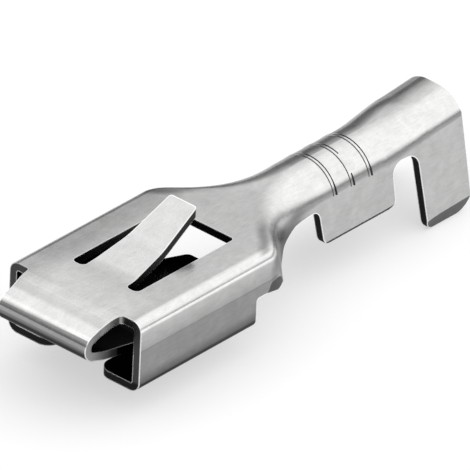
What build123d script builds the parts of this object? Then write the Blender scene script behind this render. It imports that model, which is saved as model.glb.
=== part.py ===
"""Flat crimp terminal: one stamped and folded sheet, in millimetres.

The X axis runs from the mouth of the tab socket towards the wire and the Z axis points up, out of the
plate. The origin is at the mouth of the socket, on the middle plane of the tab that slides in.
"""
import os
from math import cos, radians, sin, tan

from build123d import *

# Sheet, and how far a leg of the folded blank reaches before the side outline trims it
sheet = 0.4
blank_reach = 6.0

# Tab that the socket takes
tab_thickness = 0.8
tab_clearance = 0.02

# Box around the tab
box_width = 7.5
box_height = 3.47
box_length = 7.49
top_bend = 0.5
bottom_bend = 0.5
flange_gap = 2.76
flange_corner = 0.66
wall_rear_corner = 0.12

# Window and locking lance in the plate
window_front = 1.8
window_overrun = 0.53
window_width = 3.76
window_corner = 0.2
slot_width = 0.68
slot_depth = 0.35
slot_corner = 0.26
lance_tip_width = 1.52
lance_end = 6.8
lance_bend_x = 2.35
lance_kink_x = 4.4
lance_kink_rise = 0.5
lance_angle = 25.2
lance_bend = 3.0
lance_corner = 0.15

# Lip that folds under the plate and runs back as the contact tongue
lip_width = 5.3
lip_taper_end = 1.2
lip_taper_round = 1.2
lip_root_radius = 0.22
lip_flat = 0.5
lip_angle = 19.5
lip_bend = 2.0
nose_radius = 0.65
tongue_angle = 18.0
tongue_ease_reach = 0.9
tongue_ease_depth = 1.9
tongue_ease_bend = 3.0
contact_x = 1.9
contact_gap = 0.62
contact_bend = 3.0
tongue_tail_angle = 1.1
tongue_width = 5.0
tongue_overrun = 0.66
tongue_end_width = 1.5
tongue_taper = 26.0
tongue_corner = 0.35

# Shoulder and neck, with their places measured from the rear of the box
shoulder_start = 0.81
shoulder_round = 0.97
neck_length = 5.6
neck_power = 2.4
neck_flare_power = 3.0
neck_lag = 13.0
neck_lag_peak = 0.18
neck_lag_end = 0.5
neck_lag_power = 3.0
neck_edge_depth = 1.97
neck_dip_start = 0.61
neck_dip_end = 1.71
neck_dip_depth = 2.34
neck_dip_blend = 0.3
neck_rise_end = 2.21
neck_rise_depth = 1.84
neck_knee = 3.31
neck_knee_depth = 1.45
neck_edge_end = 4.61
neck_edge_blend = 1.6
neck_sections = 11
neck_crowding = 1.5

# Coined flat on each side, where the wall runs into the neck
flat_start = 1.18
flat_drop = 1.04
flat_yaw = 11.5
flat_pitch = 6.0
flat_reach = 3.0

# Wire barrel
wire_overlap = 0.08
wire_length = 4.8
wire_width = 3.28
wire_crown = 0.02
wire_top = 0.36
wire_flare = 10.0
wire_depth = 2.93
wire_root_depth = 1.2
wire_root_corner = 0.4
wire_tip_corner = 0.45
wire_draft = 0.14
wire_bevel_height = 0.18
wire_bevel_depth = 0.1

# Serrations of the wire barrel: grooves inside
serration_count = 3
serration_start = 1.09
serration_pitch = 1.16
serration_width = 0.22
serration_depth = 0.08

# Insulation barrel
barrel_gap = 1.53
insulation_length = 2.96
insulation_width = 3.46
insulation_bend = 1.32
insulation_top = 0.52
insulation_rise = 0.16
insulation_flare = 11.0
insulation_depth = 4.7
insulation_draft = 0.17
insulation_front_corner = 0.5
insulation_rear_corner = 0.85
insulation_bevel_height = 0.62
insulation_bevel_depth = 0.24
arch_depth = 0.92
arch_corner = 0.6
step_overlap = 0.72
step_length = 3.4
step_shares = (0, 0.15, 0.5, 0.85, 1)

# Heights worked out from the sizes above
plate_top = box_height - sheet - (tab_thickness + tab_clearance) / 2
flange_bottom = plate_top - box_height
flange_top = flange_bottom + sheet
legs_bottom = plate_top - blank_reach


def parallel(path, distance):
    """Corners of the polyline that runs beside path, distance to its left."""
    normals = []
    for start, end in zip(path, path[1:]):
        along = Vector(end[0] - start[0], end[1] - start[1]).normalized()
        normals.append(Vector(-along.Y, along.X))
    corners = [Vector(*path[0]) + normals[0] * distance]
    for corner, before, after in zip(path[1:-1], normals, normals[1:]):
        mitre = (before + after) / (1 + before.dot(after))
        corners.append(Vector(*corner) + mitre * distance)
    corners.append(Vector(*path[-1]) + normals[-1] * distance)
    return corners


def bent_sheet(path, bends, thickness):
    """Draws a bent sheet: one side follows path, the other lies thickness to its right."""
    inner_bends = []
    for before, corner, after, bend in zip(path, path[1:], path[2:], bends):
        turn = Vector(corner[0] - before[0], corner[1] - before[1]).cross(
            Vector(after[0] - corner[0], after[1] - corner[1])).Z
        inner_bends.append(bend - thickness if turn < 0 else bend + thickness)
    with BuildLine() as outline:
        outside = FilletPolyline(*path, radius=bends)
        inside = FilletPolyline(*parallel(path, -thickness), radius=inner_bends)
        Line(outside @ 0, inside @ 0)
        Line(outside @ 1, inside @ 1)
    make_face(outline.edges())


def leg_reach(width, bend, top, flare, height):
    """Distance from the middle plane to the outer face of a channel's leg at a height."""
    lean = radians(flare)
    corner = width / 2 - bend + bend * cos(lean) - bend * (1 - sin(lean)) * tan(lean)
    return corner + (top - height) * tan(lean)


def channel(width, bend, top, flare, thickness=sheet, inset=0.0):
    """Draws the section of an open channel: a rounded top and two legs that flare outwards.

    The section can lie inset from the channel's outer face, to cut a groove in one of its faces.
    """
    foot = leg_reach(width, bend, top, flare, legs_bottom)
    corner = leg_reach(width, bend, top, flare, top)
    path = [(-foot, legs_bottom), (-corner, top), (corner, top), (foot, legs_bottom)]
    path = [(point.X, point.Y) for point in parallel(path, -inset)]
    bent_sheet(path, [bend - inset, bend - inset], thickness)


def tip_wedge(width, bend, top, flare, tip, bevel_height, bevel_depth):
    """Draws the two wedges that bevel the outer faces of a pair of wings at their tips."""
    start = Vector(leg_reach(width, bend, top, flare, tip + bevel_height), tip + bevel_height)
    end = Vector(leg_reach(width, bend, top, flare, tip) - bevel_depth, tip)
    above = start + (start - end)
    beyond = end + (end - start)
    for side in (-1, 1):
        with BuildLine() as outline:
            Polyline((side * above.X, above.Y), (side * beyond.X, beyond.Y),
                     (side * (above.X + bevel_height), beyond.Y), close=True)
        make_face(outline.edges())


def neck_progress(x):
    """Share of the way from the box's section, 0, to the wire barrel's section, 1."""
    run = x - shoulder_x
    past = run ** 2 / (2 * shoulder_round) if run < shoulder_round else run - shoulder_round / 2
    length = neck_length - shoulder_round / 2
    return 1 - (max(length - past, 0) / length) ** neck_power


def neck_lag_at(share):
    """Extra flare of the neck's legs, in degrees: their lower edges turn in later than its top."""
    rise = min(share / neck_lag_peak, 1) ** neck_lag_power
    fall = min(max((share - neck_lag_peak) / (neck_lag_end - neck_lag_peak), 0), 1)
    return neck_lag * sin(radians(90 * rise)) * cos(radians(90 * fall))


def between(start, end, share):
    """Value at a share of the way from start to end."""
    return start + (end - start) * share


def eased(share):
    """The share with a soft start and a soft end."""
    return share ** 2 * (3 - 2 * share)


# Places and sections worked out from the sizes above
window_rear = box_length + window_overrun
lance_root_width = window_width - 2 * slot_width
tongue_end = box_length + tongue_overrun
shoulder_x = box_length + shoulder_start
neck_end = shoulder_x + neck_length
wire_front = neck_end - wire_overlap
wire_rear = wire_front + wire_length
step_front = wire_rear - step_overlap
step_rear = step_front + step_length
insulation_front = wire_rear + barrel_gap
insulation_rear = insulation_front + insulation_length
wire_section = (wire_width, (wire_width - wire_crown) / 2, plate_top + wire_top, wire_flare)
insulation_section = (
    insulation_width, insulation_bend, plate_top + insulation_top, insulation_flare)
insulation_end = (
    insulation_width, insulation_bend, plate_top + insulation_top + insulation_rise, insulation_flare)

# Side view of the lip, its nose and the tongue under it: the outer face, from the tongue's end forwards
lip_slope = tan(radians(lip_angle))
tongue_slope = tan(radians(tongue_angle))
nose_x = -(tongue_ease_depth + tongue_ease_reach * tongue_slope + lip_flat * lip_slope) / (
    lip_slope + tongue_slope)
contact_z = flange_top + contact_gap
tongue_path = [
    (tongue_end, contact_z + (tongue_end - contact_x) * tan(radians(tongue_tail_angle))),
    (contact_x, contact_z),
    (-tongue_ease_reach, plate_top - tongue_ease_depth),
    (nose_x, plate_top + (nose_x + lip_flat) * lip_slope),
    (-lip_flat, plate_top),
    (window_front / 2, plate_top)]
fold_z = plate_top + (nose_x + lip_flat) * lip_slope

with BuildPart() as tongue:
    with BuildSketch(Plane.XZ.offset(-box_width / 2)):
        bent_sheet(
            tongue_path, [contact_bend, tongue_ease_bend, nose_radius, lip_bend], sheet)
    extrude(amount=box_width)

# Plan of the same strip: the lip above the fold and the tongue below it
with BuildPart() as tongue_blank:
    with BuildSketch(Plane.XY.offset(flange_bottom)):
        taper_x = tongue_end - (tongue_width - tongue_end_width) / 2 / tan(radians(tongue_taper))
        with BuildLine():
            FilletPolyline(
                (nose_x, -tongue_width / 2), (taper_x, -tongue_width / 2),
                (tongue_end, -tongue_end_width / 2), (tongue_end, tongue_end_width / 2),
                (taper_x, tongue_width / 2), (nose_x, tongue_width / 2),
                radius=[tongue_corner, tongue_corner, tongue_corner, tongue_corner])
            Line((nose_x, tongue_width / 2), (nose_x, -tongue_width / 2))
        make_face()
    extrude(amount=fold_z - flange_bottom)
    with BuildSketch(Plane.XY.offset(fold_z)):
        lip_root = lip_width / 2 + 2 * lip_root_radius
        with BuildLine():
            FilletPolyline(
                (nose_x, -tongue_width / 2), (-lip_taper_end, -tongue_width / 2),
                (0, -lip_width / 2), (0, -lip_root), (window_front / 2, -lip_root),
                (window_front / 2, lip_root), (0, lip_root), (0, lip_width / 2),
                (-lip_taper_end, tongue_width / 2), (nose_x, tongue_width / 2),
                radius=[lip_taper_round, lip_root_radius, 0, 0, 0, 0, lip_root_radius, lip_taper_round])
            Line((nose_x, tongue_width / 2), (nose_x, -tongue_width / 2))
        make_face()
    extrude(amount=blank_reach)

# Lance that locks the terminal in its housing
with BuildPart() as lance:
    with BuildSketch(Plane.XZ.offset(-window_width / 2)):
        kink_z = plate_top + lance_kink_rise
        lance_z = kink_z + (lance_end - lance_kink_x) * tan(radians(lance_angle))
        bent_sheet(
            [(window_front / 2, plate_top), (lance_bend_x, plate_top), (lance_kink_x, kink_z),
             (lance_end, lance_z)],
            [lance_bend, lance_bend], sheet)
    extrude(amount=window_width)
    with BuildSketch(Plane.XY):
        with BuildLine():
            FilletPolyline(
                (window_front / 2, -lance_root_width / 2), (lance_bend_x, -lance_root_width / 2),
                (lance_end, -lance_tip_width / 2), (lance_end, lance_tip_width / 2),
                (lance_bend_x, lance_root_width / 2), (window_front / 2, lance_root_width / 2),
                radius=[0, lance_corner, lance_corner, 0])
            Line((window_front / 2, lance_root_width / 2), (window_front / 2, -lance_root_width / 2))
        make_face()
    extrude(amount=blank_reach, mode=Mode.INTERSECT)

# Neck, lofted from the box's section to the wire barrel's
with BuildPart() as neck:
    for step in range(neck_sections):
        station = between(shoulder_x, neck_end, (step / (neck_sections - 1)) ** neck_crowding)
        share = neck_progress(station)
        run_share = (station - shoulder_x) / neck_length
        with BuildSketch(Plane.YZ.offset(station)):
            channel(
                between(box_width, wire_width, share),
                between(top_bend, wire_section[1], share),
                between(plate_top, plate_top + wire_top, run_share),
                wire_flare * share ** neck_flare_power + neck_lag_at(run_share))
    loft()

# Wire barrel, open downwards
with BuildPart() as wire_barrel:
    with BuildSketch(Plane.YZ.offset(neck_end)):
        channel(*wire_section)
    extrude(amount=step_front - neck_end)

# Step up from the wire barrel to the insulation barrel
with BuildPart() as step_up:
    for share in step_shares:
        with BuildSketch(Plane.YZ.offset(between(step_front, step_rear, share))):
            channel(*[between(*ends, eased(share)) for ends in zip(wire_section, insulation_section)])
    loft()

# Insulation barrel, which rises a little towards its end
with BuildPart() as insulation_barrel:
    with BuildSketch(Plane.YZ.offset(step_rear)):
        channel(*insulation_section)
    with BuildSketch(Plane.YZ.offset(insulation_rear)):
        channel(*insulation_end)
    loft()

# What the coined flats take off the two sides
with BuildPart() as coining:
    flat_normal = Vector(
        sin(radians(flat_yaw)) * cos(radians(flat_pitch)),
        -cos(radians(flat_yaw)) * cos(radians(flat_pitch)),
        -sin(radians(flat_pitch)))
    flat_place = (box_length + flat_start, -box_width / 2, plate_top - flat_drop)
    with BuildSketch(Plane(flat_place, z_dir=flat_normal)):
        Rectangle(flat_reach, flat_reach)
    extrude(amount=sheet)
    mirror(about=Plane.XZ)

with BuildPart() as terminal:
    # Box: plate, walls and the flanges under them
    with BuildSketch(Plane.YZ):
        half = box_width / 2
        flange_edge = flange_gap / 2
        bent_sheet(
            [(-flange_edge, flange_bottom), (-half, flange_bottom), (-half, plate_top),
             (half, plate_top), (half, flange_bottom), (flange_edge, flange_bottom)],
            [bottom_bend, top_bend, top_bend, bottom_bend], sheet)
    extrude(amount=shoulder_x)
    flange_tips = terminal.edges().filter_by(Axis.Z).group_by(Axis.X)[0]
    fillet(flange_tips.sort_by(lambda edge: abs(edge.center().Y))[:2], flange_corner)
    add(neck.part)
    add(wire_barrel.part)
    add(step_up.part)
    add(insulation_barrel.part)

    # Side outline: what the blank leaves of the walls, the neck's edges and the four wings
    with BuildSketch(Plane.XZ.offset(-box_width)):
        neck_edge = plate_top - neck_edge_depth
        wire_root = plate_top - wire_root_depth
        wire_tip = plate_top - wire_depth
        arch_top = plate_top - arch_depth
        wing_tip = plate_top - insulation_depth
        blank_top = plate_top + blank_reach
        with BuildLine():
            FilletPolyline(
                (0, blank_top), (0, flange_bottom), (box_length, flange_bottom), (box_length, neck_edge),
                (box_length + neck_dip_start, neck_edge),
                (box_length + neck_dip_end, plate_top - neck_dip_depth),
                (box_length + neck_rise_end, plate_top - neck_rise_depth),
                (box_length + neck_knee, plate_top - neck_knee_depth),
                (box_length + neck_edge_end, wire_root), (wire_front, wire_root),
                (wire_front + wire_draft, wire_tip), (wire_rear, wire_tip), (wire_rear, arch_top),
                (insulation_front, arch_top), (insulation_front + insulation_draft, wing_tip),
                (insulation_rear, wing_tip), (insulation_rear, blank_top),
                radius=[
                    0, 0, wall_rear_corner, neck_dip_blend, neck_dip_blend, neck_dip_blend,
                    neck_edge_blend, neck_edge_blend, wire_root_corner,
                    wire_tip_corner, wire_tip_corner, arch_corner, arch_corner,
                    insulation_front_corner, insulation_rear_corner])
            Line((insulation_rear, blank_top), (0, blank_top))
        make_face()
    extrude(amount=2 * box_width, mode=Mode.INTERSECT)
    add(coining.part, mode=Mode.SUBTRACT)

    # Window in the plate, with a short slot on each side of the lance's root
    with BuildSketch(Plane.XY.offset(plate_top - sheet)) as opening:
        with Locations(((window_front + window_rear) / 2, 0)):
            Rectangle(window_rear - window_front, window_width)
        with Locations((window_front + slot_depth / 2, 0)):
            Rectangle(slot_depth, lance_root_width, mode=Mode.SUBTRACT)
        fillet(opening.vertices().group_by(Axis.X)[0], slot_corner)
        fillet(opening.vertices().group_by(Axis.X)[-1], window_corner)
    extrude(amount=sheet, mode=Mode.SUBTRACT)
    add(lance.part)

    # Lip and tongue
    add(tongue.part.intersect(tongue_blank.part))

    # Bevels on the outer faces of the four wings
    with BuildSketch(Plane.YZ.offset(wire_front)):
        tip_wedge(*wire_section, wire_tip, wire_bevel_height, wire_bevel_depth)
    extrude(amount=wire_rear - wire_front, mode=Mode.SUBTRACT)
    with BuildSketch(Plane.YZ.offset(insulation_front)):
        tip_wedge(*insulation_section, wing_tip, insulation_bevel_height, insulation_bevel_depth)
    extrude(amount=insulation_rear - insulation_front, mode=Mode.SUBTRACT)

    # Serrations inside the wire barrel
    for count in range(serration_count):
        groove_x = wire_front + serration_start + count * serration_pitch - serration_width / 2
        with BuildSketch(Plane.YZ.offset(groove_x)):
            channel(*wire_section, thickness=2 * serration_depth, inset=sheet - serration_depth)
        extrude(amount=serration_width, mode=Mode.SUBTRACT)

terminal.part.label = "terminal"
os.makedirs("parts", exist_ok=True)
export_step(terminal.part, "parts/terminal.step")
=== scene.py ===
"""Flat crimp terminal: the tinned finish of its folded sheet with painted light and shade, its studio and
its camera.
"""

from math import cos, pi, radians, sin

import bmesh
import bpy
from bpy.props import FloatProperty, FloatVectorProperty, IntProperty, PointerProperty
from mathutils import Matrix, Vector
from mathutils.bvhtree import BVHTree


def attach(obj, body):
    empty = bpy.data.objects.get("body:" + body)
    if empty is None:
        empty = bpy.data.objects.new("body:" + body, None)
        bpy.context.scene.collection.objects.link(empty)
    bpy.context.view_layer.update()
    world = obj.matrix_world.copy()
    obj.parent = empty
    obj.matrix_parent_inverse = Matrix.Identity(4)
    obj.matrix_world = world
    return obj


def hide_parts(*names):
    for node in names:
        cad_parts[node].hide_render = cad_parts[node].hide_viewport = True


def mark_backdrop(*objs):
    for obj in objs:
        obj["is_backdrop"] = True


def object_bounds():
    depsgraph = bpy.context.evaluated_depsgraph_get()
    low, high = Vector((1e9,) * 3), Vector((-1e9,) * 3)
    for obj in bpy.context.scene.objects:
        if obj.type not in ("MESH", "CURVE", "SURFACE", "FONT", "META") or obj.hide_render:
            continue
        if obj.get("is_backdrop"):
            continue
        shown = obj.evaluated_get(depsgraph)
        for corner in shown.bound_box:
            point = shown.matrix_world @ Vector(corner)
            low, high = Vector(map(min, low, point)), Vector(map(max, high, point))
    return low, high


bl_info = {
    "name": "Flat crimp terminal",
    "version": (1, 0, 0),
    "blender": (4, 5, 0),
    "location": "3D View > Sidebar > Terminal",
    "description": "Dresses the folded sheet of a flat crimp terminal and sets up its studio",
    "category": "Object",
}

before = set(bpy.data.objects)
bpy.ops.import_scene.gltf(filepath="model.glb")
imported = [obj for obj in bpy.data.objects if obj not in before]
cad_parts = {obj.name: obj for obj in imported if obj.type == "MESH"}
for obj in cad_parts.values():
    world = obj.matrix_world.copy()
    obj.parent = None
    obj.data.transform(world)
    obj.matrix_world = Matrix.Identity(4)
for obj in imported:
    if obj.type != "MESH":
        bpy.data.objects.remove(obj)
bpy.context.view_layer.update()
SHEET_NODE = "terminal"
MM = 0.001

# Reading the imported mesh
MERGE_REACH = 0.002 * MM
SKIN = 0.01 * MM
CORNER_SHARE = 0.4
FOLDED = -0.5
COINED_REAR = 9.6 * MM
COINED_SIDE = 0.9
COINED_BACK = 0.17
COINED_UNDER = -0.08
WINGS_FROM = 13 * MM

# Painted light and shade, and the tilts of the normal, fade over a span of the face's place, in
# millimetres along X
BOX_REAR = (9.4, 8.6)
NECK_FRONT = (9.8, 10.5)
NECK_REAR = (13.4, 12)
NECK_ROOT_FRONT = (7.8, 9.2)
NECK_ROOT_REAR = (12, 10)
BARRELS_FRONT = (11.5, 12.8)
SHOULDER_FRONT = (12.6, 15)
INSULATION_FRONT = (19.5, 21.5)
UNDER_WINGS = (12, 20)
FAR_RIM_FRONT = (8, 10)
FAR_BAND_FRONT = (12, 15)
COINED_PLACE = (9.6, 9.3)
LANCE_REAR = (8.2, 7.6)
PLATE_FRONT = (2.4, 0.6)
LIP_FRONT = (-0.5, -1)
LIP_NOSE = (-1.35, -1.1)
SHEARED_LIP = (0, -0.1)
SHEARED_BARRELS = (9, 13)
SHEARED_BOX_REAR = (9, 8.5)

# Spans across the sheet and up from the tab's middle, in millimetres
NEAR_STRIP = (-3.2, -2.6)
FAR_STRIP = (1.3, 2.9)
DIP_SIDE = (1.5, 2.4)
FLANGE_RISE = (-0.25, -0.42)

# Spans of the height above the plate or below it, in millimetres
LANCE_FOOT = (0.01, 0.1)
LANCE_RISE = (0.8, 0.3)
NECK_DEPTH = (0.35, 0.8)

# Spans of the height above the walls' crease, in millimetres
CREASE_STEP = (-0.04, 0.04)
CREASE_GROOVE = (0, 0.06)
WALL_FOOT = (-1.75, -1)
WALL_RISE = (0, 1.08)

# The painted shade of the dip before the neck runs slanting: its place, its reach and its slant
DIP_PLACE = 11.5 * MM
DIP_REACH = 0.6 * MM
DIP_SLANT = 0.94

# The insulation barrel's lean swings from side to side over twice this width
BARREL_SWING = 1.73 * MM

# Spans of a part of the face's normal, where 1 faces along the axis
UPRIGHT_Z = (-0.05, 0.4)
UNDER_Z = (-0.02, -0.29)
NOSE_X = (-0.64, -0.76)
WALL_Y = (0.9, 0.98)
WALL_TOP_Z = (0.05, 0.2)
WALL_ROUND_Z = (0.5, 0.3)
PLATE_Z = (0.9, 0.98)
LIP_Z = (0.6, 0.8)
COINED_X = (0.12, 0.17)
COINED_Z = (-0.04, -0.08)
NECK_TURN_X = (0, 0.45)
NECK_LOW_Z = (0.6, 0.1)
NECK_ROOT_Z = (0.85, 0.97)
DIP_Z = (0.7, 0.9)
WING_Z = (0.5, 0.25)
WING_CREASE_Z = (0.2, 0.32)
CROWN_CREASE_Z = (0.55, 0.35)
FAR_BAND_Y = (-0.1, 0.25)
FAR_BAND_END_Y = (0.65, 0.45)
FAR_RIM_Y = (0.4, 0.65)
BARREL_TOP_Z = (0.2, 0.5)
SHOULDER_Y = (-0.3, -0.6)
SHOULDER_Z = (0.36, 0.62)

# How much of its surroundings a face sees, from the painted shade in the folds to fully lit, and how far
# it looks
ROLLED_OPEN = (0.45, 0.8)
ROLLED_SIGHT = 6 * MM
SHEARED_OPEN = (0.3, 0.72)
SHEARED_SIGHT = 3 * MM

# How alike the rounded and the plain normal are, from the open face to its rolled-over edge, where the
# painted highlight lies
ALIKE = (0.985, 0.93)

# Grain: shares of the streaks and the fine grain in the tone, and how far a streak is drawn out
STREAK_SHARE = 0.5
FINE_SHARE = 0.25
TONE_SPREAD = 2.0
STREAK_HEIGHT = 0.6
STREAK_STRETCH = (0.16, 1, 1)

# Serration lines: steps along and around, the reach of a cut in line widths, and the swell's span
LINE_STEPS = 96
LINE_SIDES = 8
LINE_REACH = 4
SWELL = (0.8, 1.0)
# Span across the barrel over which the lines turn to a painted reflection on the far side
LINE_FADE_Y = (0.2, 0.7)

# Studio: where its lights stand, and the spans over which they fade
KEY_SIDE = Vector((0.55, -0.35, 0.75)).normalized()
KEY_STOPS = (0.1, 0.5, 0.95)
KEY_MIDDLE = 0.65
SECOND_SIDE = Vector((-0.35, 0.45, 0.82)).normalized()
SECOND_BORDER = (0.6, 0.85)
SECOND_FIELD = (0.75, 1.0)
SECOND_OUTER = 0.7
FAR_BORDER_Y = (0, 0.5)
HORIZON_Z = (0.05, 0.3)
FAR_DIM_Y = (0.56, 0.71)
FLOOR_REACH = 0.6
SENSOR = 36


class SheetSettings(bpy.types.PropertyGroup):
    """Finish of the tinned sheet, with painted shade in its folds and on parts of its sheared faces, and
    painted highlights along its edges.
    """

    tin_color: FloatVectorProperty(
        name="Tin", description="Colour of the bright tin plate",
        subtype="COLOR", size=3, min=0, max=1, default=(0.68, 0.68, 0.675))
    # Painted highlight along the rolled-over edges, white where a rounded edge would catch the light
    edge_highlight_color: FloatVectorProperty(
        name="Edge highlight", description="Colour of the tin along the rolled-over edges",
        subtype="COLOR", size=3, min=0, max=1, default=(1, 1, 1))
    # Painted shade deep inside the folds, nearly black
    cavity_shade_color: FloatVectorProperty(
        name="Cavity", description="Colour of the tin deep inside the folds",
        subtype="COLOR", size=3, min=0, max=1, default=(0.008, 0.008, 0.009))
    shear_color: FloatVectorProperty(
        name="Sheared edge", description="Colour of the faces that the cutting die left",
        subtype="COLOR", size=3, min=0, max=1, default=(0.36, 0.355, 0.35))
    sheet_thickness: FloatProperty(
        name="Sheet thickness", description="Depth up to which a face counts as rolled, not as sheared",
        subtype="DISTANCE", unit="LENGTH", min=0, default=0.52 * MM)
    roughness: FloatProperty(
        name="Roughness", description="Roughness of the rolled faces",
        subtype="FACTOR", min=0, max=1, default=0.23)
    shear_roughness: FloatProperty(
        name="Sheared roughness", description="Roughness of the sheared faces",
        subtype="FACTOR", min=0, max=1, default=0.4)
    # Painted shade on the sheared faces behind the lip
    shear_shade_behind_lip: FloatProperty(
        name="Sheared behind the lip", description="Tone of the sheared faces behind the lip",
        subtype="FACTOR", min=0, max=1, default=0.17)
    # Painted shade on the sheared faces at the barrels
    shear_shade_at_barrels: FloatProperty(
        name="Sheared at the barrels", description="Tone of the sheared faces at the barrels",
        subtype="FACTOR", min=0, max=1, default=0.3)
    # Painted shade on the flanges' sheared faces
    flange_shade: FloatProperty(
        name="Flange dim", description="How much darker the flanges' sheared faces are",
        subtype="FACTOR", min=0, max=1, default=0.75)
    # Painted highlight along the sheared faces' borders
    shear_border_highlight: FloatProperty(
        name="Sheared border", description="How much of the roll-over shows along the sheared faces",
        subtype="FACTOR", min=0, max=1, default=0.7)
    grazing_tint: FloatProperty(
        name="Grazing tint", description="How bright the metal stays where it is seen at a low angle",
        subtype="FACTOR", min=0, max=1, default=0.58)
    grain_size: FloatProperty(
        name="Grain size", description="Size of the fine grain on the rolled faces",
        subtype="DISTANCE", unit="LENGTH", min=0, default=0.09 * MM)
    grain_depth: FloatProperty(
        name="Grain depth", description="Depth of the fine grain",
        subtype="DISTANCE", unit="LENGTH", min=0, default=0.002 * MM)
    cloud_size: FloatProperty(
        name="Cloud size", description="Size of the soft clouds in the tin",
        subtype="DISTANCE", unit="LENGTH", min=0, default=0.7 * MM)
    cloud_share: FloatProperty(
        name="Clouds", description="How much the clouds and streaks change the tone",
        subtype="FACTOR", min=0, max=1, default=0.2)
    smooth_angle: FloatProperty(
        name="Smooth angle", description="Angle above which two faces meet at a sharp edge",
        subtype="ANGLE", unit="ROTATION", min=0, default=radians(28))
    bevel_angle: FloatProperty(
        name="Bevel angle", description="Angle above which two faces of the wings meet at a sharp edge",
        subtype="ANGLE", unit="ROTATION", min=0, default=radians(18))
    edge_width: FloatProperty(
        name="Edge roll-over", description="Width of the rounding along each sheared edge",
        subtype="DISTANCE", unit="LENGTH", min=0, default=0.1 * MM)


class PaintedLightAndTiltSettings(bpy.types.PropertyGroup):
    """Painted light and shade on the tin from one area of the sheet to the next, and the tilts of its
    normal.
    """

    # Painted shade on the upright faces, on those that turn down and on the lip's nose
    side_shade: FloatProperty(
        name="Side shade", description="Tone of the upright faces, as a share of the plate's",
        subtype="FACTOR", min=0, max=1, default=0.59)
    under_shade: FloatProperty(
        name="Under shade", description="Tone of the faces that turn down",
        subtype="FACTOR", min=0, max=1, default=0.15)
    wing_under_shade: FloatProperty(
        name="Under the wings", description="Tone of the faces that turn down at the insulation barrel",
        subtype="FACTOR", min=0, max=1, default=0.2)
    nose_shade: FloatProperty(
        name="Nose", description="Tone of the lip's front",
        subtype="FACTOR", min=0, max=1, default=0.48)
    # Painted light and shade on the walls: darker just above the crease, brighter just below the plate
    wall_low_shade: FloatProperty(
        name="Wall above the crease", description="Tone of the walls just above their crease",
        min=0, default=0.92)
    wall_high_light: FloatProperty(
        name="Wall below the plate", description="Tone of the walls just below the plate",
        min=0, default=1.35)
    # Painted shade on the walls below the crease, with a darker painted line along it and painted shade
    # at their foot
    crease_drop: FloatProperty(
        name="Crease", description="Depth of the crease along the walls below the plate",
        subtype="DISTANCE", unit="LENGTH", min=0, default=1.38 * MM)
    crease_shade: FloatProperty(
        name="Below the crease", description="Tone of the walls below the crease, against that above it",
        subtype="FACTOR", min=0, max=1, default=0.78)
    groove_shade: FloatProperty(
        name="Along the crease", description="Tone of the fine line along the crease",
        subtype="FACTOR", min=0, max=1, default=0.82)
    foot_shade: FloatProperty(
        name="Foot of the walls", description="Tone of the walls at their foot",
        subtype="FACTOR", min=0, max=1, default=0.45)
    neck_shade: FloatProperty(
        name="Neck sides", description="Tone of the faces that turn towards the barrels",
        subtype="FACTOR", min=0, max=1, default=0.75)
    dip_shade: FloatProperty(
        name="Neck dip", description="Tone of the shallow dips where the plate runs into the neck",
        subtype="FACTOR", min=0, max=1, default=0.55)
    # Painted shade at the neck's foot
    neck_foot_shade: FloatProperty(
        name="Neck foot", description="How much darker the neck gets below the plate",
        subtype="FACTOR", min=0, max=1, default=0.5)
    neck_root_shade: FloatProperty(
        name="Neck root", description="Tone of the flat top where the neck starts",
        subtype="FACTOR", min=0, max=1, default=0.88)
    coined_shade: FloatProperty(
        name="Coined flats", description="Tone of the coined flat on each side",
        subtype="FACTOR", min=0, max=1, default=0.5)
    # Painted highlight at the lance's root
    lance_highlight: FloatProperty(
        name="Lance glow", description="How much brighter the lance's root is",
        subtype="FACTOR", min=0, max=1, default=0.2)
    # Painted highlight on the plate towards the lip
    front_highlight: FloatProperty(
        name="Front glow", description="How much brighter the plate is towards the lip",
        subtype="FACTOR", min=0, max=1, default=0.2)
    # Painted shade on the lip before its nose
    lip_shade: FloatProperty(
        name="Lip dim", description="How much darker the lip is before its nose",
        subtype="FACTOR", min=0, max=1, default=0.25)
    # Painted highlight on the bend above the walls
    wall_top_highlight: FloatProperty(
        name="Wall top glow", description="How much brighter the bend above the walls is",
        subtype="FACTOR", min=0, max=1, default=0.18)
    # Painted shade on the barrels' wings
    wing_shade: FloatProperty(
        name="Wing dim", description="How much darker the wings of the barrels are",
        subtype="FACTOR", min=0, max=1, default=0.11)
    # Painted shade on the bend above the wings
    wing_crease_shade: FloatProperty(
        name="Wing crease", description="How much darker the bend above the wings is",
        subtype="FACTOR", min=0, max=1, default=0.38)
    # Painted shade on the far side of the barrels
    far_band_shade: FloatProperty(
        name="Far band", description="How much darker the far side of the barrels is",
        subtype="FACTOR", min=0, max=1, default=0.28)
    # Painted light along the far outline of the neck and the barrels
    far_rim_light: FloatProperty(
        name="Far rim", description="Tone of the neck and the barrels at their far outline",
        min=0, default=1.35)
    plate_tilt: FloatProperty(
        name="Plate tilt", description="How far the strip beyond the window leans",
        subtype="ANGLE", unit="ROTATION", min=0, default=radians(4))
    barrel_tilt: FloatProperty(
        name="Barrel tilt", description="How far the top of the insulation barrel leans",
        subtype="FACTOR", min=0, max=1, default=0.2)
    shoulder_tilt: FloatProperty(
        name="Shoulder tilt", description="How far the barrels' near shoulder leans up",
        subtype="FACTOR", min=0, max=1, default=0.26)


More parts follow.
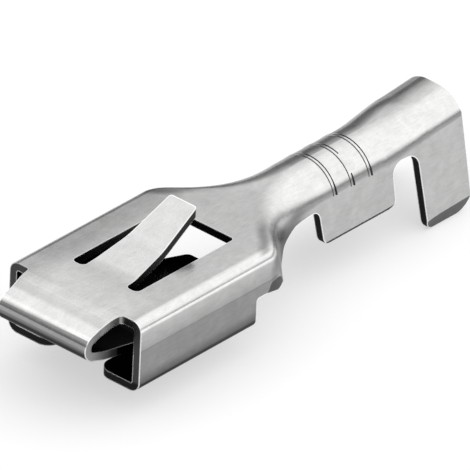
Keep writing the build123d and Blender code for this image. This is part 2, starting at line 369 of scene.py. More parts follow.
class MarkSettings(bpy.types.PropertyGroup):
    """Lines that the serrations press through to the outside of the wire barrel."""

    count: IntProperty(
        name="Marks", description="Number of serrations", min=1, default=3)
    first: FloatProperty(
        name="First mark", description="Place of the first mark behind the mouth",
        subtype="DISTANCE", unit="LENGTH", default=14.82 * MM)
    pitch: FloatProperty(
        name="Pitch", description="Distance from mark to mark",
        subtype="DISTANCE", unit="LENGTH", min=0, default=1.155 * MM)
    line_gap: FloatProperty(
        name="Line gap", description="Distance between the two lines of a mark",
        subtype="DISTANCE", unit="LENGTH", min=0, default=0.19 * MM)
    barrel_radius: FloatProperty(
        name="Barrel radius", description="Outer radius of the wire barrel's top",
        subtype="DISTANCE", unit="LENGTH", min=0, default=1.63 * MM)
    line_width: FloatProperty(
        name="Line width", description="Half the width of a line",
        subtype="DISTANCE", unit="LENGTH", min=0, default=0.026 * MM)
    end_swell: FloatProperty(
        name="End swell", description="How much wider the second line of a mark grows at its near end",
        min=0, default=1.0)
    start_angle: FloatProperty(
        name="Far end", description="Where the lines begin, measured from the barrel's top",
        subtype="ANGLE", unit="ROTATION", default=radians(-66))
    end_angle: FloatProperty(
        name="Near end", description="Where the lines end, measured from the barrel's top",
        subtype="ANGLE", unit="ROTATION", default=radians(77))
    break_start: FloatProperty(
        name="Break from", description="Where the middle mark's second line stops",
        subtype="ANGLE", unit="ROTATION", default=radians(22))
    break_end: FloatProperty(
        name="Break to", description="Where the middle mark's second line goes on",
        subtype="ANGLE", unit="ROTATION", default=radians(57))
    first_gain: FloatProperty(
        name="First line", description="How much paler the first line of a mark is than the second",
        min=0, default=2.6)
    # Painted shade of the pressed lines, nearly black
    line_color: FloatVectorProperty(
        name="Line", description="Colour of the pressed lines",
        subtype="COLOR", size=3, min=0, max=1, default=(0.05, 0.05, 0.05))


class StageSettings(bpy.types.PropertyGroup):
    """Floor, light and camera."""

    floor_color: FloatVectorProperty(
        name="Floor", description="Colour of the floor",
        subtype="COLOR", size=3, min=0, max=1, default=(0.5, 0.5, 0.5))
    floor_lift: FloatProperty(
        name="Floor lift", description="How much of the background's white shows on the floor",
        min=0, max=1, default=0.55)
    key_level: FloatProperty(
        name="Key light", description="Brightness of the large soft light above the near side",
        min=0, default=1.34)
    far_level: FloatProperty(
        name="Far light", description="Brightness of the studio on the far side",
        min=0, default=0.36)
    second_level: FloatProperty(
        name="Second light", description="Brightness of the soft light above the mouth of the box",
        min=0, default=1.32)
    far_border: FloatProperty(
        name="Far border", description="How much higher the dark border stands on the far side",
        min=0, max=1, default=0.25)
    far_dim: FloatProperty(
        name="Far dim", description="Brightness low on the far side, as a share of the light there",
        subtype="FACTOR", min=0, max=1, default=0.62)
    horizon_level: FloatProperty(
        name="Horizon", description="Brightness of the studio at the level of the floor",
        min=0, default=0.4)
    azimuth: FloatProperty(
        name="Azimuth", description="Side from which the camera looks",
        subtype="ANGLE", unit="ROTATION", default=radians(-49.69))
    elevation: FloatProperty(
        name="Elevation", description="Height of the camera above the horizon",
        subtype="ANGLE", unit="ROTATION", default=radians(31.28))
    roll: FloatProperty(
        name="Roll", description="Turn of the picture",
        subtype="ANGLE", unit="ROTATION", default=radians(2.58))
    distance: FloatProperty(
        name="Distance", description="Distance from the camera to the object",
        subtype="DISTANCE", unit="LENGTH", min=0, default=674 * MM)
    view_width: FloatProperty(
        name="View width", description="Width of the picture at the object",
        subtype="DISTANCE", unit="LENGTH", min=0, default=19.921 * MM)
    aim_across: FloatProperty(
        name="Aim across", description="Where the camera aims, to the right of the plate's front edge",
        subtype="DISTANCE", unit="LENGTH", default=6.752 * MM)
    aim_up: FloatProperty(
        name="Aim up", description="Where the camera aims, above the plate's front edge",
        subtype="DISTANCE", unit="LENGTH", default=2.409 * MM)


def top_at(x, reach):
    """Height of the sheet's top near a place along X."""
    return max(vertex.co.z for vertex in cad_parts[SHEET_NODE].data.vertices
               if abs(vertex.co.x - x) < reach)


def plate_top():
    """Height of the flat plate's upper face, read at the mouth of the box."""
    return top_at(0, 0.1 * MM)


def unfold_slivers(builder):
    """Turns the longest edge of each thin triangle that lies folded back across it."""
    for face in list(builder.faces):
        if not face.is_valid:
            continue
        edge = max(face.edges, key=lambda edge: edge.calc_length())
        wide = next(other for other in edge.link_faces if other is not face)
        if wide.normal.dot(face.normal) > FOLDED or wide.calc_area() < face.calc_area():
            continue
        tip = next(vertex for vertex in face.verts if vertex not in edge.verts)
        loop = next(loop for loop in wide.loops if loop.edge is edge)
        first, last, far = loop.vert, loop.link_loop_next.vert, loop.link_loop_prev.vert
        builder.edges.remove(edge)
        for corners in ((first, tip, far), (tip, last, far)):
            builder.faces.new(corners).normal_update()


def merged_copy(name):
    """A copy of a CAD node with its loose triangles joined."""
    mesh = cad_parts[name].data.copy()
    builder = bmesh.new()
    builder.from_mesh(mesh)
    bmesh.ops.remove_doubles(builder, verts=builder.verts, dist=MERGE_REACH)
    unfold_slivers(builder)
    builder.to_mesh(mesh)
    builder.free()
    copy = bpy.data.objects.new(name + "_sheet", mesh)
    bpy.context.scene.collection.objects.link(copy)
    return copy


def is_rolled(tree, mesh, face, thickness):
    """True where the sheet's other side lies within its thickness behind the face."""
    starts = [face.center] + [
        face.center.lerp(mesh.vertices[number].co, CORNER_SHARE) for number in face.vertices]
    for start in starts:
        depth = tree.ray_cast(start - face.normal * SKIN, -face.normal, 2 * thickness)[3]
        if depth is not None and depth + SKIN < thickness:
            return True
    return False


def is_coined(face):
    """True on the coined flat of each side, where the wall runs into the neck."""
    return (face.center.x < COINED_REAR and abs(face.normal.y) > COINED_SIDE
            and face.normal.x > COINED_BACK and face.normal.z < COINED_UNDER)


def mark_borders(mesh, angle):
    """Marks as sharp the borders of the sheared faces, the coined flats and the wings' bevels."""
    faces_at = {}
    for face in mesh.polygons:
        for key in face.edge_keys:
            faces_at.setdefault(key, []).append(face)
    for edge in mesh.edges:
        first, second = faces_at[edge.key]
        at_cut = first.material_index != second.material_index
        at_flat = is_coined(first) != is_coined(second)
        on_wing = min(first.center.x, second.center.x) > WINGS_FROM
        at_bevel = on_wing and first.normal.angle(second.normal) > angle
        if at_cut or at_flat or at_bevel:
            edge.use_edge_sharp = True


class Nodes:
    """Adds and links nodes in one node tree."""

    def __init__(self, tree):
        self.tree = tree

    def add(self, kind, inputs=None, **settings):
        node = self.tree.nodes.new(kind)
        for name, value in settings.items():
            setattr(node, name, value)
        for name, value in (inputs or {}).items():
            self.feed(node.inputs[name], value)
        return node

    def feed(self, socket, value):
        if isinstance(value, bpy.types.NodeSocket):
            self.tree.links.new(value, socket)
        else:
            socket.default_value = value

    def math(self, operation, first, second=0.0):
        node = self.add("ShaderNodeMath", operation=operation)
        self.feed(node.inputs[0], first)
        self.feed(node.inputs[1], second)
        return node.outputs["Value"]

    def product(self, first, *others):
        for other in others:
            first = self.math("MULTIPLY", first, other)
        return first

    def total(self, first, *others):
        for other in others:
            first = self.math("ADD", first, other)
        return first

    def rest(self, share):
        """What a share leaves of 1."""
        return self.math("SUBTRACT", 1.0, share)

    def toward(self, share, tone):
        """Runs from 1 to a tone as the share grows."""
        return self.total(1.0, self.product(self.math("SUBTRACT", tone, 1.0), share))

    def vector(self, operation, first, second=(0, 0, 0), output="Vector"):
        node = self.add("ShaderNodeVectorMath", operation=operation)
        self.feed(node.inputs[0], first)
        self.feed(node.inputs[1], second)
        return node.outputs[output]

    def ramp(self, value, start, end, low=0.0, high=1.0, smooth=True):
        node = self.add(
            "ShaderNodeMapRange",
            {"Value": value, "From Min": start, "From Max": end, "To Min": low, "To Max": high},
            interpolation_type="SMOOTHSTEP" if smooth else "LINEAR")
        return node.outputs["Result"]

    def mix(self, factor, first, second):
        node = self.add("ShaderNodeMix", data_type="RGBA")
        self.feed(node.inputs["Factor"], factor)
        self.feed(node.inputs["A"], first)
        self.feed(node.inputs["B"], second)
        return node.outputs["Result"]

    def scaled(self, color, tone):
        """The color with each part multiplied by a tone."""
        node = self.add("ShaderNodeVectorMath", {0: color, "Scale": tone}, operation="SCALE")
        return node.outputs["Vector"]


class Face:
    """Fades by the way that a face turns and by the place where it lies."""

    def __init__(self, nodes):
        self.nodes = nodes
        place = nodes.add("ShaderNodeTexCoord").outputs["Object"]
        self.direction = nodes.add("ShaderNodeNewGeometry").outputs["Normal"]
        self.place = nodes.add("ShaderNodeSeparateXYZ", {0: place}).outputs
        self.normal = nodes.add("ShaderNodeSeparateXYZ", {0: self.direction}).outputs

    def turns(self, axis, span, low=0.0, high=1.0, smooth=True):
        """Fades as the normal's part along an axis runs through a span."""
        return self.nodes.ramp(self.normal[axis], *span, low, high, smooth)

    def lies(self, axis, span, low=0.0, high=1.0):
        """Fades as the place along an axis runs through a span in millimetres."""
        return self.at(self.place[axis], span, low, high)

    def at(self, distance, span, low=0.0, high=1.0, smooth=True):
        """Fades as a distance runs through a span in millimetres."""
        start, end = span
        return self.nodes.ramp(distance, start * MM, end * MM, low, high, smooth)

    def above_plate(self):
        """Height above the plate's upper face."""
        return self.nodes.math("SUBTRACT", self.place["Z"], plate_top())


def new_group(name, inputs, outputs):
    """An empty shader node group with its sockets, its input node and its output node."""
    tree = bpy.data.node_groups.new(name, "ShaderNodeTree")
    for socket, kind, default in inputs:
        made = tree.interface.new_socket(socket, in_out="INPUT", socket_type=kind)
        made.default_value = default
    for socket, kind in outputs:
        tree.interface.new_socket(socket, in_out="OUTPUT", socket_type=kind)
    source = tree.nodes.new("NodeGroupInput")
    target = tree.nodes.new("NodeGroupOutput")
    return tree, Nodes(tree), source, target


def grain_group():
    """Fine grain, soft clouds and rolling streaks: a tone about 1 and a bump height."""
    tree, nodes, source, target = new_group(
        "rolled_grain",
        (("Grain Scale", "NodeSocketFloat", 1000), ("Cloud Scale", "NodeSocketFloat", 1000),
         ("Share", "NodeSocketFloat", 0.1)),
        (("Tone", "NodeSocketFloat"), ("Height", "NodeSocketFloat")))
    place = nodes.add("ShaderNodeTexCoord").outputs["Object"]
    fine = nodes.add("ShaderNodeTexNoise", {
        "Vector": place, "Scale": source.outputs["Grain Scale"], "Detail": 3})
    clouds = nodes.add("ShaderNodeTexNoise", {
        "Vector": place, "Scale": source.outputs["Cloud Scale"], "Detail": 4, "Roughness": 0.6,
        "Distortion": 0.6})
    stretched = nodes.vector("MULTIPLY", place, STREAK_STRETCH)
    streaks = nodes.add("ShaderNodeTexNoise", {
        "Vector": stretched, "Scale": source.outputs["Grain Scale"], "Detail": 2})
    blend = nodes.total(
        clouds.outputs["Fac"], nodes.product(streaks.outputs["Fac"], STREAK_SHARE),
        nodes.product(fine.outputs["Fac"], FINE_SHARE))
    middle = (1 + STREAK_SHARE + FINE_SHARE) / 2
    centred = nodes.math("SUBTRACT", blend, middle)
    nodes.feed(target.inputs["Tone"], nodes.total(
        nodes.product(centred, source.outputs["Share"], TONE_SPREAD), 1.0))
    nodes.feed(target.inputs["Height"], nodes.total(
        fine.outputs["Fac"], nodes.product(streaks.outputs["Fac"], STREAK_HEIGHT)))
    return tree


def edge_group():
    """Roll-over along sharp edges: the mask of the painted highlight along them, and their rounded
    normal.
    """
    tree, nodes, source, target = new_group(
        "rolled_over_edge",
        (("Radius", "NodeSocketFloat", 0.05 * MM),),
        (("Mask", "NodeSocketFloat"), ("Normal", "NodeSocketVector")))
    rounding = nodes.add("ShaderNodeBevel", {"Radius": source.outputs["Radius"]}, samples=8)
    plain = nodes.add("ShaderNodeNewGeometry").outputs["Normal"]
    alike = nodes.vector("DOT_PRODUCT", rounding.outputs["Normal"], plain, "Value")
    nodes.feed(target.inputs["Mask"], nodes.ramp(alike, *ALIKE))
    nodes.feed(target.inputs["Normal"], rounding.outputs["Normal"])
    return tree


def metal(name, settings, color, roughness):
    """A metal material, with its shader and its nodes."""
    material = bpy.data.materials.new(name)
    material.use_nodes = True
    nodes = Nodes(material.node_tree)
    shader = material.node_tree.nodes["Principled BSDF"]
    shader.inputs["Metallic"].default_value = 1.0
    shader.inputs["Base Color"].default_value = (*color, 1)
    shader.inputs["Roughness"].default_value = roughness
    shader.inputs["Specular Tint"].default_value = (*[settings.grazing_tint] * 3, 1)
    return material, shader, nodes


def grain_in(nodes, settings, group):
    """Places the grain group in a material."""
    grain = nodes.add("ShaderNodeGroup", node_tree=group)
    grain.inputs["Grain Scale"].default_value = 1 / settings.grain_size
    grain.inputs["Cloud Scale"].default_value = 1 / settings.cloud_size
    grain.inputs["Share"].default_value = settings.cloud_share
    return grain


def edge_in(nodes, settings, group):
    """Places the edge group in a material."""
    edge = nodes.add("ShaderNodeGroup", node_tree=group)
    edge.inputs["Radius"].default_value = settings.edge_width
    return edge


def painted_wall_light(face, tones):
    """Painted light and shade on the walls of the box: brighter towards the plate, darker below the
    crease and at the foot, with a darker line along the crease.
    """
    nodes = face.nodes
    from_crease = nodes.math("SUBTRACT", face.place["Z"], plate_top() - tones.crease_drop)
    groove = face.at(nodes.math("ABSOLUTE", from_crease), CREASE_GROOVE, tones.groove_shade, 1.0)
    tone = nodes.product(
        groove,
        face.at(from_crease, WALL_RISE, tones.wall_low_shade, tones.wall_high_light, smooth=False),
        face.at(from_crease, CREASE_STEP, tones.crease_shade, 1.0),
        face.at(from_crease, WALL_FOOT, tones.foot_shade, 1.0))
    flank = nodes.math("ABSOLUTE", face.normal["Y"])
    return nodes.toward(nodes.product(nodes.ramp(flank, *WALL_Y), face.lies("X", BOX_REAR)), tone)


def painted_neck_shade(face, tones):
    """Painted shade on the neck: dull where it turns to the barrels, darker at its foot and on its root,
    and darker in a dip before each side.
    """
    nodes = face.nodes
    side = nodes.product(face.turns("X", NECK_TURN_X, smooth=False), face.turns("Z", NECK_LOW_Z))
    depth = nodes.product(face.above_plate(), -1.0)
    foot = nodes.product(
        face.at(depth, NECK_DEPTH, 0, tones.neck_foot_shade), face.lies("X", NECK_FRONT),
        face.lies("X", NECK_REAR))
    across = nodes.math("ABSOLUTE", face.place["Y"])
    slanting = nodes.total(face.place["X"], nodes.product(across, DIP_SLANT))
    from_dip = nodes.math("ABSOLUTE", nodes.math("SUBTRACT", slanting, DIP_PLACE))
    dip = nodes.product(
        nodes.ramp(from_dip, DIP_REACH, 0), face.at(across, DIP_SIDE), face.turns("Z", DIP_Z))
    root = nodes.product(
        face.lies("X", NECK_ROOT_FRONT), face.lies("X", NECK_ROOT_REAR), face.turns("Z", NECK_ROOT_Z))
    return nodes.product(
        nodes.toward(side, tones.neck_shade), nodes.rest(foot), nodes.toward(dip, tones.dip_shade),
        nodes.toward(root, tones.neck_root_shade))


def painted_barrel_light(face, tones):
    """Painted light and shade on the barrels: dull wings, a dark bend above them, and a darker far side
    with a paler rim.
    """
    nodes = face.nodes
    wing = face.turns("Z", WING_Z, 0, tones.wing_shade)
    crease = nodes.product(
        face.turns("Z", WING_CREASE_Z, 0, tones.wing_crease_shade), face.turns("Z", CROWN_CREASE_Z))
    near = nodes.rest(nodes.product(face.lies("X", BARRELS_FRONT), nodes.total(wing, crease)))
    band = nodes.product(
        face.turns("Y", FAR_BAND_Y), face.turns("Y", FAR_BAND_END_Y),
        face.lies("X", FAR_BAND_FRONT, 0, tones.far_band_shade))
    rim = nodes.product(face.turns("Y", FAR_RIM_Y, 1.0, tones.far_rim_light), nodes.rest(band))
    return nodes.product(near, nodes.toward(face.lies("X", FAR_RIM_FRONT), rim))


def painted_box_light(face, tones):
    """Painted light and shade on the box: bright lance root, plate front and wall tops, a darker lip
    before its nose, a dull nose and dull coined flats.
    """
    nodes = face.nodes
    height = face.above_plate()
    lance = nodes.product(
        face.at(height, LANCE_FOOT), face.at(height, LANCE_RISE), face.lies("X", LANCE_REAR),
        tones.lance_highlight)
    front = nodes.product(face.lies("X", PLATE_FRONT, 0, tones.front_highlight), face.lies("Y", NEAR_STRIP))
    lip = nodes.product(face.lies("X", LIP_FRONT, 0, -tones.lip_shade), face.lies("X", LIP_NOSE))
    top = nodes.product(nodes.total(front, lip), face.turns("Z", LIP_Z))
    wall_top = nodes.product(
        face.lies("X", BOX_REAR), face.turns("Z", WALL_TOP_Z), face.turns("Z", WALL_ROUND_Z),
        tones.wall_top_highlight)
    coined = nodes.product(
        face.turns("X", COINED_X), face.turns("Z", COINED_Z), face.lies("X", COINED_PLACE))
    return nodes.product(
        nodes.total(1.0, lance, top, wall_top), nodes.toward(coined, tones.coined_shade),
        face.turns("X", NOSE_X, 1.0, tones.nose_shade))


def leaning_normal(face, tones):
    """The face's normal, leaning a little where the pressed sheet isn't quite flat or round."""
    nodes = face.nodes
    strip = nodes.product(
        face.lies("Y", FAR_STRIP, 0, sin(tones.plate_tilt)), face.turns("Z", PLATE_Z),
        face.lies("X", BOX_REAR))
    swing = nodes.math("SINE", nodes.product(face.place["Y"], pi / BARREL_SWING))
    barrel = nodes.product(
        swing, face.lies("X", INSULATION_FRONT), face.turns("Z", BARREL_TOP_Z, 0, tones.barrel_tilt))
    shoulder = nodes.product(
        face.turns("Y", SHOULDER_Y), face.turns("Z", SHOULDER_Z, 0, tones.shoulder_tilt),
        face.lies("X", SHOULDER_FRONT))
    lean = nodes.add("ShaderNodeCombineXYZ", {"Y": nodes.total(strip, barrel), "Z": shoulder})
    return nodes.vector("NORMALIZE", nodes.vector("ADD", face.direction, lean.outputs["Vector"]))


def openness(nodes, sight, span):
    """How open a face lies, by how much of its surroundings it sees."""
    seen = nodes.add("ShaderNodeAmbientOcclusion", {"Distance": sight}, samples=16, only_local=True)
    return nodes.ramp(seen.outputs["AO"], *span)


def finish_metal(shader, nodes, grain, color, roughness, depth, normal):
    """Feeds a metal its colour, its grained roughness and its grained normal."""
    bump = nodes.add("ShaderNodeBump", {
        "Strength": 1.0, "Distance": depth, "Height": grain.outputs["Height"], "Normal": normal})
    nodes.feed(shader.inputs["Base Color"], color)
    nodes.feed(shader.inputs["Roughness"], nodes.product(grain.outputs["Tone"], roughness))
    nodes.feed(shader.inputs["Normal"], bump.outputs["Normal"])


def tinned_material(settings, tones, grain_tree, edge_tree):
    """Bright tin over rolled sheet, with painted shade on upright faces and inside the folds, painted
    light and shade area by area, and painted highlights along the edges.
    """
    material, shader, nodes = metal("tinned_sheet", settings, settings.tin_color, settings.roughness)
    face = Face(nodes)
    grain = grain_in(nodes, settings, grain_tree)
    edge = edge_in(nodes, settings, edge_tree)
    # Painted shade on the upright faces and on those that turn down, and painted light and shade area by
    # area, times the tin's own grain
    under_shade = face.lies("X", UNDER_WINGS, tones.under_shade, tones.wing_under_shade)
    tone = nodes.product(
        face.turns("Z", UPRIGHT_Z, tones.side_shade, 1.0), face.turns("Z", UNDER_Z, 1.0, under_shade),
        painted_box_light(face, tones), painted_wall_light(face, tones), painted_neck_shade(face, tones),
        painted_barrel_light(face, tones), grain.outputs["Tone"])
    color = nodes.scaled(settings.tin_color, tone)
    # Painted shade inside the folds, where a face sees little of its surroundings
    is_open = openness(nodes, ROLLED_SIGHT, ROLLED_OPEN)
    color = nodes.mix(is_open, (*settings.cavity_shade_color, 1), color)
    # Painted highlight along the rolled-over edges
    color = nodes.mix(edge.outputs["Mask"], color, (*settings.edge_highlight_color, 1))
    finish_metal(
        shader, nodes, grain, color, settings.roughness, settings.grain_depth,
        leaning_normal(face, tones))
    return material


def sheared_material(settings, grain_tree, edge_tree):
    """Dull metal where the die cut through the sheet, with painted shade behind the lip, on the flanges,
    at the barrels and in the folds, and painted highlights along its rolled-over borders.
    """
    material, shader, nodes = metal(
        "sheared_edge", settings, settings.shear_color, settings.shear_roughness)
    face = Face(nodes)
    grain = grain_in(nodes, settings, grain_tree)
    edge = edge_in(nodes, settings, edge_tree)
    # Painted shade on the flanges, behind the lip and at the barrels, times the grain's tone
    flange = nodes.product(
        face.lies("X", SHEARED_BOX_REAR), face.lies("Z", FLANGE_RISE, 0, settings.flange_shade))
    tone = nodes.product(
        face.lies("X", SHEARED_LIP, settings.shear_shade_behind_lip, 1.0), nodes.rest(flange),
        face.lies("X", SHEARED_BARRELS, 1.0, settings.shear_shade_at_barrels), grain.outputs["Tone"])
    color = nodes.scaled(settings.shear_color, tone)
    # Painted shade inside the folds
    is_open = openness(nodes, SHEARED_SIGHT, SHEARED_OPEN)
    color = nodes.mix(is_open, (*settings.cavity_shade_color, 1), color)
    # Painted highlight along the rolled-over borders where the face lies open
    border = nodes.product(edge.outputs["Mask"], is_open, settings.shear_border_highlight)
    color = nodes.mix(border, color, (*settings.edge_highlight_color, 1))
    finish_metal(
        shader, nodes, grain, color, settings.shear_roughness, 2 * settings.grain_depth,
        edge.outputs["Normal"])
    return material


class TERMINAL_OT_sheet(bpy.types.Operator):
    """Dress the folded sheet in its tinned finish, with painted light and shade"""

    bl_idname = "terminal.sheet"
    bl_label = "Sheet"

    def execute(self, context):
        settings = context.scene.terminal_sheet
        sheet = merged_copy(SHEET_NODE)
        mesh = sheet.data
        grain_tree = grain_group()
        edge_tree = edge_group()
        mesh.materials.clear()
        mesh.materials.append(tinned_material(
            settings, context.scene.terminal_tones, grain_tree, edge_tree))
        mesh.materials.append(sheared_material(settings, grain_tree, edge_tree))
        tree = BVHTree.FromPolygons(
            [vertex.co for vertex in mesh.vertices], [face.vertices for face in mesh.polygons])
        for face in mesh.polygons:
            face.material_index = 0 if is_rolled(tree, mesh, face, settings.sheet_thickness) else 1
        mesh.shade_smooth()
        mesh.set_sharp_from_angle(angle=settings.smooth_angle)
        mark_borders(mesh, settings.bevel_angle)
        weighted = sheet.modifiers.new("even_normals", "WEIGHTED_NORMAL")
        weighted.keep_sharp = True
        weighted.weight = 100
        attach(sheet, "root")
        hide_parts(SHEET_NODE)
        return {"FINISHED"}


def line_tree():
    """Geometry nodes: thin lines across the barrel, in a row of pairs, with one line broken."""
    tree = bpy.data.node_groups.new("pressed_lines", "GeometryNodeTree")
    for name, kind in (
            ("Radius", "NodeSocketFloat"), ("Line Width", "NodeSocketFloat"),
            ("End Swell", "NodeSocketFloat"), ("Start", "NodeSocketFloat"), ("End", "NodeSocketFloat"),
            ("First", "NodeSocketVector"), ("Pitch", "NodeSocketVector"), ("Gap", "NodeSocketVector"),
            ("Count", "NodeSocketInt"), ("Break From", "NodeSocketFloat"),
            ("Break To", "NodeSocketFloat"), ("Material", "NodeSocketMaterial")):
        tree.interface.new_socket(name, in_out="INPUT", socket_type=kind)
    tree.interface.new_socket("Geometry", in_out="OUTPUT", socket_type="NodeSocketGeometry")
    nodes = Nodes(tree)
    source = tree.nodes.new("NodeGroupInput").outputs
    target = tree.nodes.new("NodeGroupOutput")

    arc = nodes.add("GeometryNodeCurveArc", {
        "Resolution": LINE_STEPS, "Radius": source["Radius"], "Start Angle": source["Start"],
        "Sweep Angle": nodes.math("SUBTRACT", source["End"], source["Start"])})
    upright = nodes.add("GeometryNodeTransform", {
        "Geometry": arc.outputs["Curve"], "Rotation": (radians(180), radians(-90), 0)})
    profile = nodes.add("GeometryNodeCurvePrimitiveCircle", {
        "Resolution": LINE_SIDES, "Radius": source["Line Width"]})
    along = nodes.add("GeometryNodeSplineParameter").outputs["Factor"]
    radius = nodes.add("GeometryNodeInputRadius").outputs["Radius"]
    joined = nodes.add("GeometryNodeJoinGeometry")
    for is_second in (False, True):
        swell = nodes.product(nodes.ramp(along, *SWELL), source["End Swell"])
        sized = nodes.add("GeometryNodeSetCurveRadius", {
            "Curve": upright.outputs["Geometry"],
            "Radius": nodes.total(1.0, swell if is_second else 0.0)})
        line = nodes.add("GeometryNodeCurveToMesh", {
            "Curve": sized.outputs["Curve"], "Profile Curve": profile.outputs["Curve"],
            "Scale": radius, "Fill Caps": True})
        start = source["First"]
        if is_second:
            start = nodes.vector("ADD", start, source["Gap"])
        row = nodes.add("GeometryNodeMeshLine", {
            "Count": source["Count"], "Start Location": start, "Offset": source["Pitch"]})
        lines = nodes.add("GeometryNodeInstanceOnPoints", {
            "Points": row.outputs["Mesh"], "Instance": line.outputs["Mesh"]})
        real = nodes.add("GeometryNodeRealizeInstances", {"Geometry": lines.outputs["Instances"]})
        result = real.outputs["Geometry"]
        if is_second:
            middle = nodes.vector("ADD", start, source["Pitch"])
            offset = nodes.vector(
                "SUBTRACT", nodes.add("GeometryNodeInputPosition").outputs["Position"], middle)
            parts = nodes.add("ShaderNodeSeparateXYZ", {0: offset})
            angle = nodes.math(
                "ARCTAN2", nodes.product(parts.outputs["Y"], -1.0), parts.outputs["Z"])
            in_line = nodes.math(
                "LESS_THAN", nodes.math("ABSOLUTE", parts.outputs["X"]),
                nodes.product(source["Line Width"], LINE_REACH))
            in_break = nodes.product(
                nodes.math("GREATER_THAN", angle, source["Break From"]),
                nodes.math("LESS_THAN", angle, source["Break To"]))
            cut = nodes.add(
                "GeometryNodeDeleteGeometry",
                {"Geometry": result, "Selection": nodes.product(in_line, in_break)}, domain="FACE")
            result = cut.outputs["Geometry"]
        nodes.feed(joined.inputs["Geometry"], result)
    real = nodes.add("GeometryNodeRealizeInstances", {"Geometry": joined.outputs["Geometry"]})
    dressed = nodes.add("GeometryNodeSetMaterial", {
        "Geometry": real.outputs["Geometry"], "Material": source["Material"]})
    nodes.feed(target.inputs["Geometry"], dressed.outputs["Geometry"])
    return tree


def line_material(settings, sheet_settings):
    """Pressed lines in painted shade, paler with a painted reflection where they run down the far side.
    """
    material, shader, nodes = metal(
        "pressed_line", sheet_settings, settings.line_color, sheet_settings.shear_roughness)
    face = Face(nodes)
    grain = grain_in(nodes, sheet_settings, bpy.data.node_groups["rolled_grain"])
    from_first = nodes.math("SUBTRACT", face.place["X"], settings.first - settings.line_gap / 2)
    in_pitch = nodes.math("FRACT", nodes.math("DIVIDE", from_first, settings.pitch))
    is_first = nodes.math("LESS_THAN", in_pitch, settings.line_gap / settings.pitch)
    first_tone = nodes.toward(is_first, settings.first_gain)
    # The lines' dark colour is painted shade
    color = nodes.scaled(settings.line_color, nodes.product(first_tone, grain.outputs["Tone"]))
    # Painted reflection where the lines run down the far side
    color = nodes.mix(face.lies("Y", LINE_FADE_Y), color, (*sheet_settings.edge_highlight_color, 1))
    nodes.feed(shader.inputs["Base Color"], color)
    return material


class TERMINAL_OT_marks(bpy.types.Operator):
    """Press the lines of the serrations through the wire barrel"""

    bl_idname = "terminal.marks"
    bl_label = "Serration marks"

    def execute(self, context):
        settings = context.scene.terminal_marks
        tree = line_tree()
        holder = bpy.data.objects.new("serration_marks", bpy.data.meshes.new("serration_marks"))
        context.scene.collection.objects.link(holder)
        modifier = holder.modifiers.new("pressed_lines", "NODES")
        modifier.node_group = tree
        barrel_top = top_at(settings.first, settings.barrel_radius)
        values = {
            "Radius": settings.barrel_radius, "Line Width": settings.line_width,
            "End Swell": settings.end_swell, "Start": settings.start_angle, "End": settings.end_angle,
            "First": (settings.first, 0, barrel_top - settings.barrel_radius),
            "Pitch": (settings.pitch, 0, 0), "Gap": (settings.line_gap, 0, 0),
            "Count": settings.count, "Break From": settings.break_start,
            "Break To": settings.break_end,
            "Material": line_material(settings, context.scene.terminal_sheet)}
        for socket in tree.interface.items_tree:
            if socket.in_out == "INPUT":
                modifier[socket.identifier] = values[socket.name]
        evaluated = holder.evaluated_get(context.evaluated_depsgraph_get())
        made = bpy.data.meshes.new_from_object(evaluated)
        if not made.polygons:
            raise RuntimeError("The marks came out empty")
        holder.modifiers.remove(modifier)
        holder.data = made
        made.shade_smooth()
        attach(holder, "root")
        return {"FINISHED"}


def studio_world(settings):
    """A soft studio: one large light above the near side, and a dim far side."""
    world = bpy.data.worlds.new("studio")
    world.use_nodes = True
    nodes = Nodes(world.node_tree)
    place = nodes.add("ShaderNodeTexCoord").outputs["Generated"]
    toward_key = nodes.vector("DOT_PRODUCT", place, KEY_SIDE, "Value")
    ramp = nodes.add("ShaderNodeValToRGB", {"Fac": toward_key})
    ramp.color_ramp.interpolation = "EASE"
    levels = (settings.far_level, KEY_MIDDLE * settings.key_level, settings.key_level)
    elements = ramp.color_ramp.elements
    while len(elements) < len(levels):
        elements.new(0.5)
    for element, position, level in zip(elements, KEY_STOPS, levels):
        element.position = position
        element.color = (level, level, level, 1)

    # A second light above the mouth of the box
    toward_second = nodes.vector("DOT_PRODUCT", place, SECOND_SIDE, "Value")
    second = nodes.ramp(
        toward_second, *SECOND_FIELD, SECOND_OUTER * settings.second_level, settings.second_level,
        smooth=False)
    light = nodes.mix(nodes.ramp(toward_second, *SECOND_BORDER), ramp.outputs["Color"], second)

    # The studio's dark border stands higher on the far side, which is dimmer low down
    side = nodes.add("ShaderNodeSeparateXYZ", {0: place}).outputs
    border = nodes.ramp(side["Y"], *FAR_BORDER_Y, 0, settings.far_border)
    above_border = nodes.math("SUBTRACT", side["Z"], border)
    sky = nodes.mix(
        nodes.ramp(above_border, *HORIZON_Z), (*[settings.horizon_level] * 3, 1), light)
    sky = nodes.scaled(sky, nodes.ramp(side["Y"], *FAR_DIM_Y, 1.0, settings.far_dim))
    nodes.feed(world.node_tree.nodes["Background"].inputs["Color"], sky)
    return world


def camera_axes(settings):
    """The camera's right, up and back directions."""
    right = Vector((cos(settings.azimuth), sin(settings.azimuth), 0))
    back = Vector((sin(settings.azimuth) * cos(settings.elevation),
                   -cos(settings.azimuth) * cos(settings.elevation), sin(settings.elevation)))
    turn = Matrix.Rotation(settings.roll, 3, back)
    up = back.cross(right)
    return turn @ right, turn @ up, back


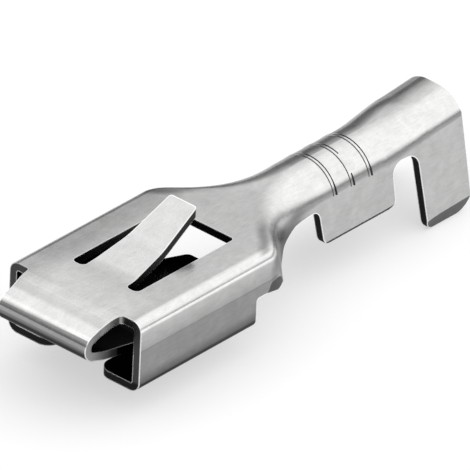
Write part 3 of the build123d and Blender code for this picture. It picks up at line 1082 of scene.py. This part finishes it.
def floor_piece(settings, low, high):
    """A wide white floor just under the object."""
    mesh = bpy.data.meshes.new("floor")
    centre_x = (low[0] + high[0]) / 2
    corners = [(centre_x + x * FLOOR_REACH, y * FLOOR_REACH, low[2] - SKIN)
               for x, y in ((-1, -1), (1, -1), (1, 1), (-1, 1))]
    mesh.from_pydata(corners, [], [(0, 1, 2, 3)])
    floor = bpy.data.objects.new("floor", mesh)
    bpy.context.scene.collection.objects.link(floor)
    material = bpy.data.materials.new("floor")
    material.use_nodes = True
    nodes = Nodes(material.node_tree)
    shader = material.node_tree.nodes["Principled BSDF"]
    shader.inputs["Base Color"].default_value = (*settings.floor_color, 1)
    shader.inputs["Roughness"].default_value = 0.9
    path = nodes.add("ShaderNodeLightPath")
    seen = nodes.total(
        path.outputs["Is Camera Ray"], path.outputs["Is Glossy Ray"], path.outputs["Is Transmission Ray"])
    shader.inputs["Emission Color"].default_value = (1, 1, 1, 1)
    nodes.feed(shader.inputs["Emission Strength"], nodes.product(seen, settings.floor_lift))
    mesh.materials.append(material)
    return floor


class TERMINAL_OT_stage(bpy.types.Operator):
    """Set up the floor, the light and the camera"""

    bl_idname = "terminal.stage"
    bl_label = "Stage"

    def execute(self, context):
        settings = context.scene.terminal_stage
        scene = context.scene
        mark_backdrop(floor_piece(settings, *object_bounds()))
        scene.world = studio_world(settings)

        right, up, back = camera_axes(settings)
        front_edge = Vector((0, 0, plate_top()))
        camera_data = bpy.data.cameras.new("camera")
        camera_data.sensor_width = SENSOR
        camera_data.lens = SENSOR * settings.distance / settings.view_width
        camera_data.clip_start = 0.01
        camera_data.clip_end = 10
        camera = bpy.data.objects.new("camera", camera_data)
        scene.collection.objects.link(camera)
        place = front_edge + right * settings.aim_across + up * settings.aim_up + back * settings.distance
        camera.matrix_world = Matrix.Translation(place) @ Matrix((right, up, back)).transposed().to_4x4()
        scene.camera = camera
        scene.view_settings.view_transform = "Standard"
        return {"FINISHED"}


class TERMINAL_PT_panel(bpy.types.Panel):
    """Sizes and colours of the terminal and its stage"""

    bl_idname = "TERMINAL_PT_panel"
    bl_label = "Flat crimp terminal"
    bl_space_type = "VIEW_3D"
    bl_region_type = "UI"
    bl_category = "Terminal"

    def draw(self, context):
        scene = context.scene
        for groups, operator in (
                ((scene.terminal_sheet, scene.terminal_tones), "terminal.sheet"),
                ((scene.terminal_marks,), "terminal.marks"),
                ((scene.terminal_stage,), "terminal.stage")):
            box = self.layout.box()
            for settings in groups:
                for name in settings.__annotations__:
                    box.prop(settings, name)
            box.operator(operator)


CLASSES = (SheetSettings, PaintedLightAndTiltSettings, MarkSettings, StageSettings, TERMINAL_OT_sheet,
           TERMINAL_OT_marks, TERMINAL_OT_stage, TERMINAL_PT_panel)


def register():
    for new_class in CLASSES:
        bpy.utils.register_class(new_class)
    bpy.types.Scene.terminal_sheet = PointerProperty(type=SheetSettings)
    bpy.types.Scene.terminal_tones = PointerProperty(type=PaintedLightAndTiltSettings)
    bpy.types.Scene.terminal_marks = PointerProperty(type=MarkSettings)
    bpy.types.Scene.terminal_stage = PointerProperty(type=StageSettings)


def unregister():
    del bpy.types.Scene.terminal_stage
    del bpy.types.Scene.terminal_marks
    del bpy.types.Scene.terminal_tones
    del bpy.types.Scene.terminal_sheet
    for new_class in reversed(CLASSES):
        bpy.utils.unregister_class(new_class)


def main():
    register()
    bpy.ops.terminal.sheet()
    bpy.ops.terminal.marks()
    bpy.ops.terminal.stage()


if __name__ == "__main__":
    main()
